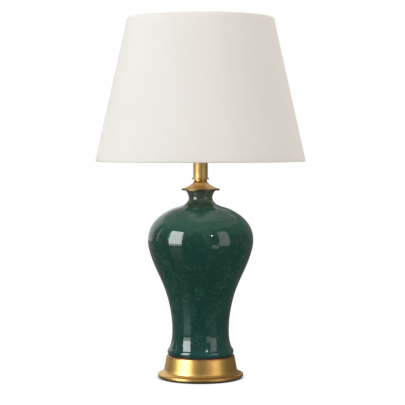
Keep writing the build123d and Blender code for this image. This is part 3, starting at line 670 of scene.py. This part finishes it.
def floor_paint():
    """White to the eye, with the lamp's shadow round its foot; seen from below it is clear."""
    paint = Finish("floor_paint", Roughness=0.9, Base_Color=colour(238, 238, 237))
    x, y, z = paint.axes(paint.place())
    pad_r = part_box("base_pad")[1].x
    near = ((x * x + y * y) ** 0.5).between(pad_r * SHADOW_REACH, pad_r)
    rays = paint.node("ShaderNodeLightPath").socket.node.outputs
    kinds = ("Camera", "Glossy", "Transmission")
    seen, mirrored, through = [Wire(paint, rays[f"Is {kind} Ray"]) for kind in kinds]
    # close round the foot less of the floor is plain white: a painted shadow on top of the real one
    shown = (seen + mirrored + through) * (FLOOR_WHITE - near * (FLOOR_WHITE - CONTACT_WHITE))
    glow = paint.node("ShaderNodeEmission", {"Color": (1, 1, 1, 1), "Strength": FLOOR_GLOW})
    lit = Wire(paint, paint.shader.outputs[0])
    above = paint.node("ShaderNodeMixShader", {0: shown, 1: lit, 2: glow})
    below = paint.node("ShaderNodeNewGeometry", output="Backfacing")
    clear = paint.node("ShaderNodeBsdfTransparent")
    both = paint.node("ShaderNodeMixShader", {0: below, 1: above, 2: clear})
    paint.tree.links.new(both.socket, paint.tree.nodes["Material Output"].inputs["Surface"])
    return paint.material


def make_floor():
    bpy.ops.object.select_all(action="DESELECT")
    bpy.ops.mesh.primitive_plane_add(size=FLOOR_SIZE, location=(0, 0, 0))
    floor = active_name("studio_floor")
    floor.data.materials.append(floor_paint())


def make_table_top():
    """Dark table top with a dull sheen; only reflections show it."""
    bpy.ops.object.select_all(action="DESELECT")
    bpy.ops.mesh.primitive_circle_add(vertices=72, radius=WALL_RADIUS, fill_type="NGON",
                                      location=(0, 0, TABLE_LIFT))
    top = active_name("studio_table_top")
    bpy.ops.object.transform_apply(location=True, rotation=True, scale=True)
    sheen = Finish("dark_table_sheen", Base_Color=colour(34, 33, 32), Roughness=0.32, Specular_IOR_Level=0.1,
                   Emission_Color=(1.0, 0.98, 0.95, 1), Emission_Strength=TABLE_TONE)
    top.data.materials.append(sheen.material)
    hide_all_but_gleams(top)


def make_world():
    """Air that is white to the eye and in reflections, and lights the lamp only weakly."""
    world = bpy.data.worlds.new("studio_air")
    bpy.context.scene.world = world
    world.use_nodes = True
    tree = world.node_tree
    rays = tree.nodes.new("ShaderNodeLightPath").outputs
    background = tree.nodes["Background"]
    background.inputs["Color"].default_value = (1, 1, 1, 1)
    shown = rays["Is Camera Ray"]
    for other in ("Is Glossy Ray", "Is Transmission Ray"):
        either = tree.nodes.new("ShaderNodeMath")
        either.operation = "MAXIMUM"
        tree.links.new(shown, either.inputs[0])
        tree.links.new(rays[other], either.inputs[1])
        shown = either.outputs[0]
    level = tree.nodes.new("ShaderNodeMapRange")
    level.inputs["To Min"].default_value = AIR_LIGHT
    level.inputs["To Max"].default_value = 1.0
    tree.links.new(shown, level.inputs["Value"])
    tree.links.new(level.outputs[0], background.inputs["Strength"])


def make_wall():
    """Dark studio wall, open behind the lamp's left side; only reflections show it."""
    bpy.ops.object.select_all(action="DESELECT")
    bpy.ops.mesh.primitive_cylinder_add(vertices=180, radius=WALL_RADIUS, depth=WALL_TOP,
                                        end_fill_type="NOTHING", location=(0, 0, WALL_TOP / 2))
    wall = active_name("studio_wall")
    bpy.ops.object.mode_set(mode="EDIT")
    bpy.ops.mesh.select_all(action="DESELECT")
    bpy.ops.object.mode_set(mode="OBJECT")
    start, end = WALL_ENDS
    for face in wall.data.polygons:
        side = math.degrees(math.atan2(face.center.x, -face.center.y))
        face.select = not start < side < end
    bpy.ops.object.mode_set(mode="EDIT")
    bpy.ops.mesh.delete(type="FACE")
    bpy.ops.object.mode_set(mode="OBJECT")
    bpy.ops.object.transform_apply(location=True, rotation=True, scale=True)
    paint = Finish("wall_paint")
    glow = paint.node("ShaderNodeEmission", {"Color": (1.0, 0.96, 0.9, 1), "Strength": WALL_TONE})
    paint.tree.links.new(glow.socket, paint.tree.nodes["Material Output"].inputs["Surface"])
    wall.data.materials.append(paint.material)
    hide_all_but_gleams(wall)


def lamp_box(name, turn, rise, distance, size, aim, tint):
    """Area lamp at turn degrees from the camera's side (positive to the right) and rise degrees above the
    height that it is aimed at."""
    lamp = bpy.data.lights.new(name, "AREA")
    lamp.shape = "RECTANGLE"
    lamp.size, lamp.size_y = size
    lamp.color = tint
    box = bpy.data.objects.new(name, lamp)
    bpy.context.scene.collection.objects.link(box)
    turn, rise = math.radians(turn), math.radians(rise)
    box.location = (
        distance * math.sin(turn) * math.cos(rise),
        -distance * math.cos(turn) * math.cos(rise),
        aim + distance * math.sin(rise),
    )
    box.rotation_euler = (math.pi / 2 - rise, 0, turn)
    box.visible_camera = False
    return box


def light(name, turn, rise, distance, size, power, tint=(1, 1, 1)):
    """Soft lamp that lights the colours and leaves no reflection."""
    box = lamp_box(name, turn, rise, distance, size, LAMPS_FACE, tint)
    box.data.energy = power
    box.visible_glossy = False


def gleam(name, turn, width, low, high, brightness, distance=1.0, tint=(1, 1, 1)):
    """Upright box that stands from low to high and shows in reflections alone."""
    box = lamp_box(name, turn, 0, distance, (width, high - low), (low + high) / 2, tint)
    box.data.energy = brightness * math.pi * width * (high - low)
    box.visible_diffuse = False


def make_lights():
    light("key_light", turn=-52, rise=30, distance=2.6, size=(1.6, 1.6), power=29)
    light("fill_light", turn=64, rise=22, distance=2.8, size=(1.6, 1.6), power=19, tint=(1.0, 0.86, 0.80))
    light("back_light", turn=150, rise=0, distance=2.4, size=(1.6, 1.2), power=18)
    light("top_light", turn=0, rise=90, distance=1.9, size=(1.0, 1.0), power=12)
    gleam("left_gleam", turn=-55, width=0.55, low=0.13, high=0.93, brightness=11.6, tint=(0.95, 1.0, 1.0))
    gleam("left_low_gleam", turn=-55, width=0.55, low=0.03, high=0.13, brightness=4.0, tint=(1, 0.98, 0.94))
    gleam("right_gleam", turn=52, width=0.42, low=0.03, high=0.93, brightness=1.9)
    gleam("spot_gleam", turn=25, width=0.045, low=0.66, high=0.71, brightness=90)
    gleam("side_gleam", turn=-104, width=0.07, low=0.20, high=0.80, brightness=1.3)
    gleam("foot_gleam", turn=31, width=0.16, low=0.03, high=0.14, brightness=1.3, distance=0.6)


def make_camera():
    camera = bpy.data.cameras.new("camera")
    camera.lens = CAMERA_LENS
    camera.sensor_width = 36.0
    eye = bpy.data.objects.new("camera", camera)
    bpy.context.scene.collection.objects.link(eye)
    eye.location = (CAMERA_X, CAMERA_Y, CAMERA_Z)
    eye.rotation_euler = (math.radians(90 - CAMERA_PITCH), 0, 0)
    bpy.context.scene.camera = eye
    bpy.context.scene.view_settings.view_transform = "Standard"


# ---------------------------------------------------------------- put together
make_camera()
make_world()
make_floor()
make_table_top()
make_wall()
make_lights()

brass = satin_brass("satin_brass", (224, 182, 110), 0.34, 0.46)
tube_brass = satin_brass("tube_brass", (198, 168, 112), 0.46, 0.54)
bright_brass = drawn_wire("harp_brass", (222, 186, 122), 0.22, 0.32, pull=0.6)
shell_brass = drawn_wire("socket_brass", (214, 178, 112), 0.24, 0.34)
zinc = zinc_plate()
felt = black_felt()
rubber = black_rubber()
gasket = black_rubber("grey_gasket", (52, 52, 50), (74, 73, 70))
glaze = crackle_glaze()
linen = linen_cloth()
backing = backing_sheet()
coated = coated_wire()
phenolic = moulded_block()
fibre = pressed_fibre()
opal = frosted_glass()
threaded = thread_cut("threaded_steel", (196, 190, 172), PIPE_PITCH)

finishes = {
    "base_pad": felt,
    "base_foot": foot_brass(),
    "cord_grommet": rubber,
    "foot_gasket": gasket,
    "ceramic_jar": glaze,
    "threaded_pipe": threaded,
    "bottom_nut": zinc,
    "lock_washer": zinc,
    "bottom_washer": zinc,
    "neck_gasket": gasket,
    "neck_cap": cap_brass(),
    "check_ring": tube_brass,
    "neck_tube": tube_brass,
    "tube_washer": brass,
    "harp_saddle": bright_brass,
    "saddle_nut": bright_brass,
    "socket_cap": shell_brass,
    "socket_set_screw": zinc,
    "pipe_bushing": rubber,
    "socket_body": phenolic,
    "terminal_screws": bright_brass,
    "centre_contact": bright_brass,
    "socket_insulator": fibre,
    "socket_shell": shell_brass,
    "switch_stem": bright_brass,
    "switch_knob": phenolic,
    "bulb_contact": zinc,
    "bulb_insulator": phenolic,
    "bulb_glass": opal,
    "harp_loop": bright_brass,
    "ferrule_left": bright_brass,
    "ferrule_right": bright_brass,
    "shade_liner": backing,
    "shade_fitter": coated,
    "shade_bottom_ring": coated,
    "finial_base": brass,
    "finial_ball": brass,
}
for node, material in finishes.items():
    dress(node, material)

cloth = make_shade_cloth(linen)
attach(cloth, "shade")
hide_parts("shade_cover")
seam = make_shade_seam(linen)
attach(seam, "shade")

stud = make_stud(bright_brass)
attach(stud, "harp_stud")
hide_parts("harp_stud")
base = make_bulb_base(zinc)
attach(base, "bulb")
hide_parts("bulb_base")
shell = make_screw_shell(bright_brass)
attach(shell, "root")
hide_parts("screw_shell")
